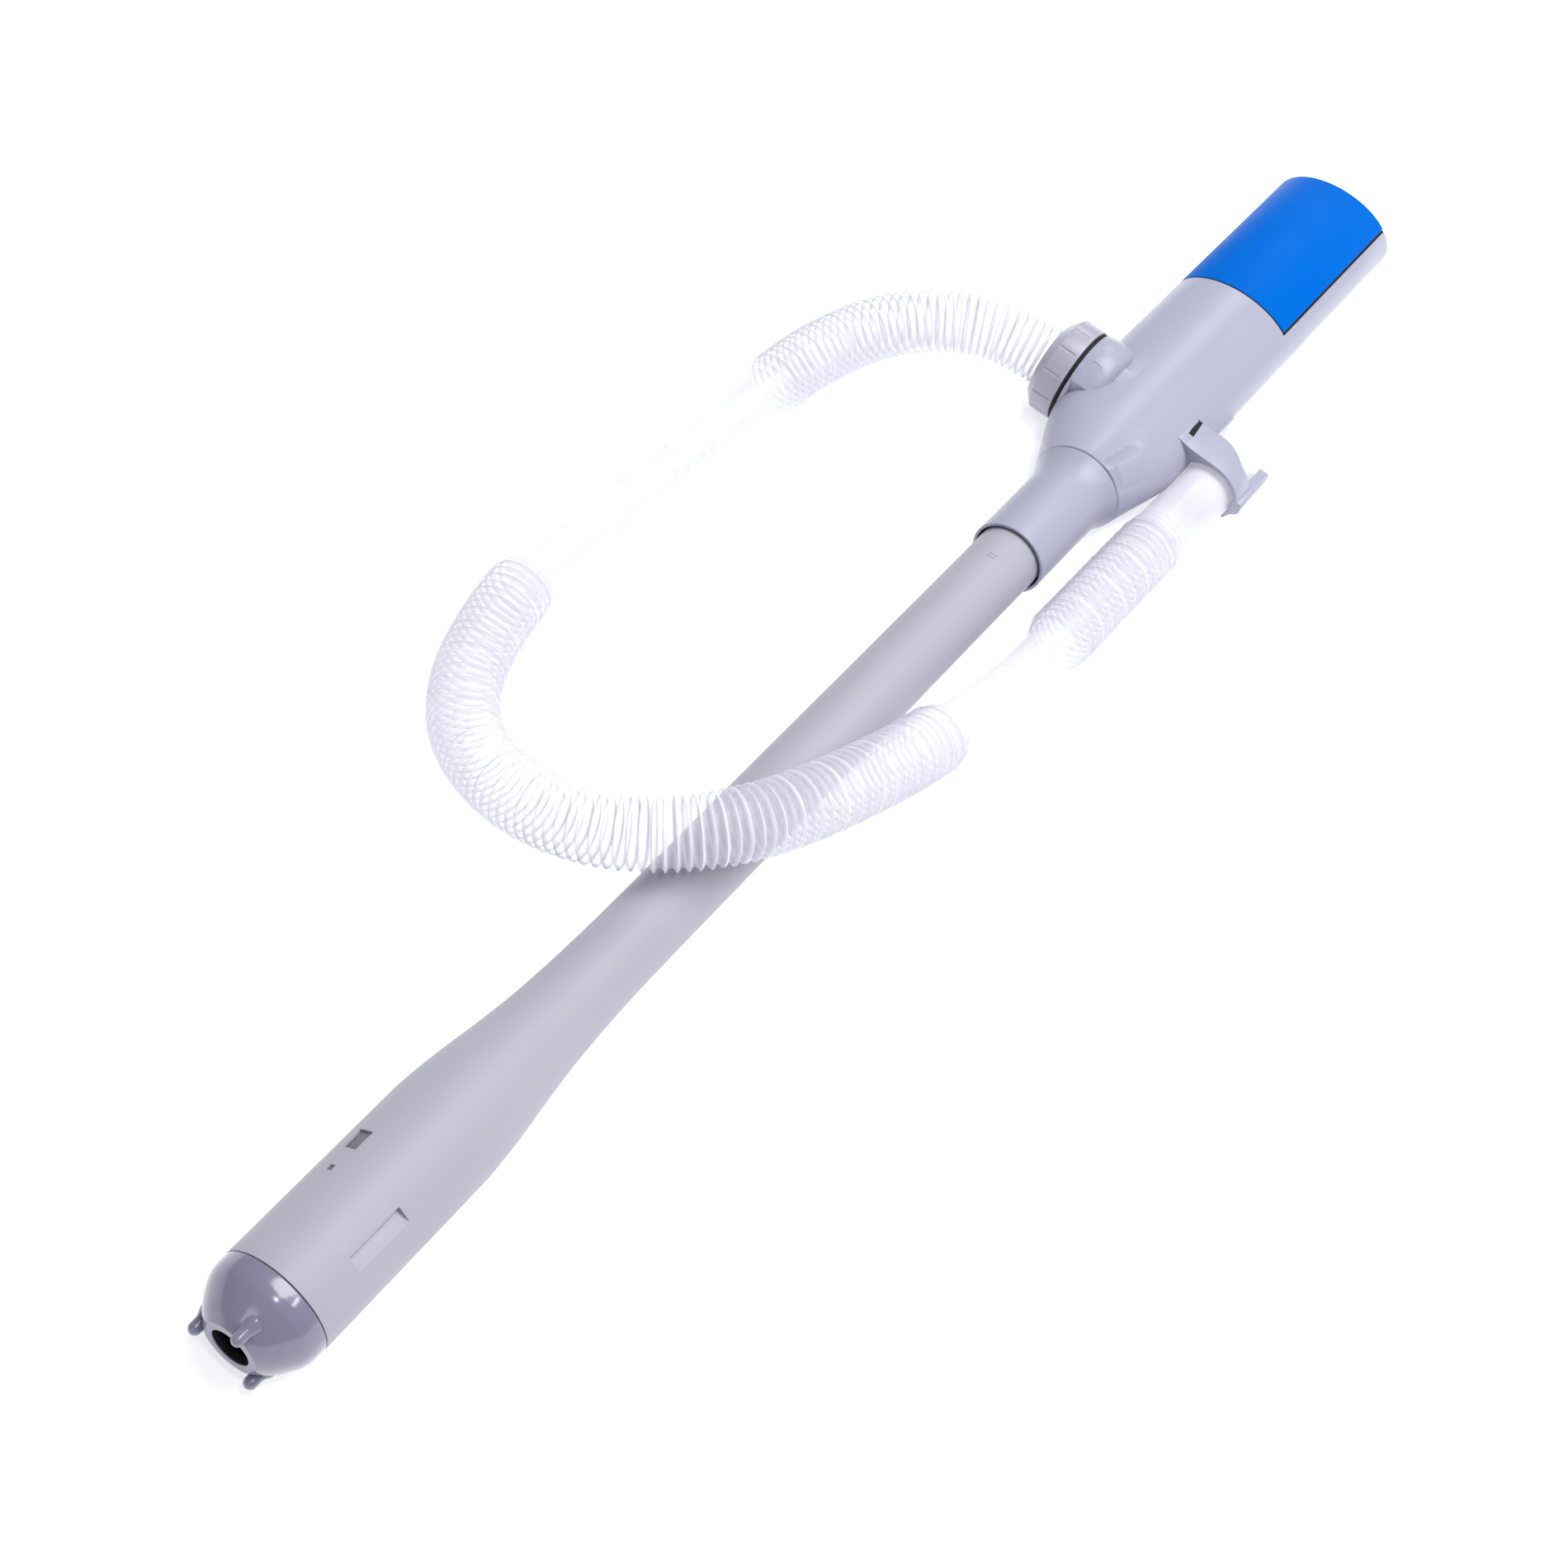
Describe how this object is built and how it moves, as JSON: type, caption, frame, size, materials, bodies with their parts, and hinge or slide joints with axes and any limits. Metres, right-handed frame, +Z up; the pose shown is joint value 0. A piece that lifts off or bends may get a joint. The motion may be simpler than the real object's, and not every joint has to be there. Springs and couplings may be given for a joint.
{
  "type": "battery liquid transfer pump",
  "caption": "Slim battery transfer pump: submersible nose, long suction tube, flat oval battery head, side outlet and a ribbed hose parked in a clip.",
  "frame": {"origin": "middle of the pump seen from above, on the table it lies on, without the hose", "axes": "+X from the nose to the battery head, +Y towards the outlet side, +Z up"},
  "size_m": [0.67, 0.1798, 0.0597],
  "materials": {
    "grey_plastic": "glossy cool light grey moulded plastic",
    "tube_plastic": "satin light grey extruded plastic, slightly warmer than the mouldings",
    "blue_plastic": "bright blue moulded plastic",
    "hose_plastic": "translucent milky white polyethylene, ribbed in three stretches",
    "black_rubber": "black nitrile rubber seals",
    "black_plastic": "black moulded plastic",
    "inner_plastic": "off-white moulded plastic, hidden inside",
    "steel": "plated steel",
    "cell_sleeve": null,
    "red_wire": "red wire insulation",
    "black_wire": "black wire insulation"
  },
  "bodies": {
    "pump_frame": {"nose_gasket": "black_rubber", "impeller_cover": "inner_plastic", "shaft_seal": "black_rubber", "motor_housing": "inner_plastic", "motor": "steel", "motor_end_bell": "black_plastic", "housing_plug": "inner_plastic", "pump_tube": "tube_plastic", "tube_socket": "grey_plastic", "tube_stop_ring": "black_rubber", "head_shell": "grey_plastic", "battery_a1": "cell_sleeve", "battery_a2": "cell_sleeve", "battery_b1": "cell_sleeve", "battery_b2": "cell_sleeve", "contact_spring_a": "steel", "contact_spring_b": "steel", "contact_bridge": "steel", "motor_lead_red": "red_wire", "motor_lead_black": "black_wire", "end_cap": "grey_plastic", "end_cap_screw_1": "steel", "end_cap_screw_2": "steel", "switch_body": "black_plastic", "outlet_gasket": "black_rubber", "hose_tail": "inner_plastic", "hose_clip": "grey_plastic", "hose": "hose_plastic"},
    "nose": {"nose_cap": "grey_plastic", "intake_strainer": "black_plastic"},
    "rotor": {"impeller": "black_plastic", "motor_shaft": "steel"},
    "nut": {"union_nut": "grey_plastic"},
    "cover": {"battery_cover": "blue_plastic"},
    "switch": {"switch_knob": "black_plastic"}
  },
  "joints": [
    {"name": "nose_cap_turn", "type": "hinge", "parent": "pump_frame", "child": "nose", "pos_m": [-0.325, 0.004, 0.0195], "axis": [-1, 0, 0], "range_deg": [0, 30]},
    {"name": "impeller_spin", "type": "hinge", "parent": "pump_frame", "child": "rotor", "pos_m": [-0.3, 0.004, 0.0195], "axis": [1, 0, 0], "continuous": true},
    {"name": "union_nut_turn", "type": "hinge", "parent": "pump_frame", "child": "nut", "pos_m": [0.168, 0.04, 0.0195], "axis": [0, 1, 0], "range_deg": [0, 180]},
    {"name": "battery_cover_slide", "type": "slide", "parent": "pump_frame", "child": "cover", "axis": [1, 0, 0], "range_m": [0, 0.095]},
    {"name": "switch_slide", "type": "slide", "parent": "pump_frame", "child": "switch", "axis": [0, 1, 0], "range_m": [0, 0.0055]}
  ]
}
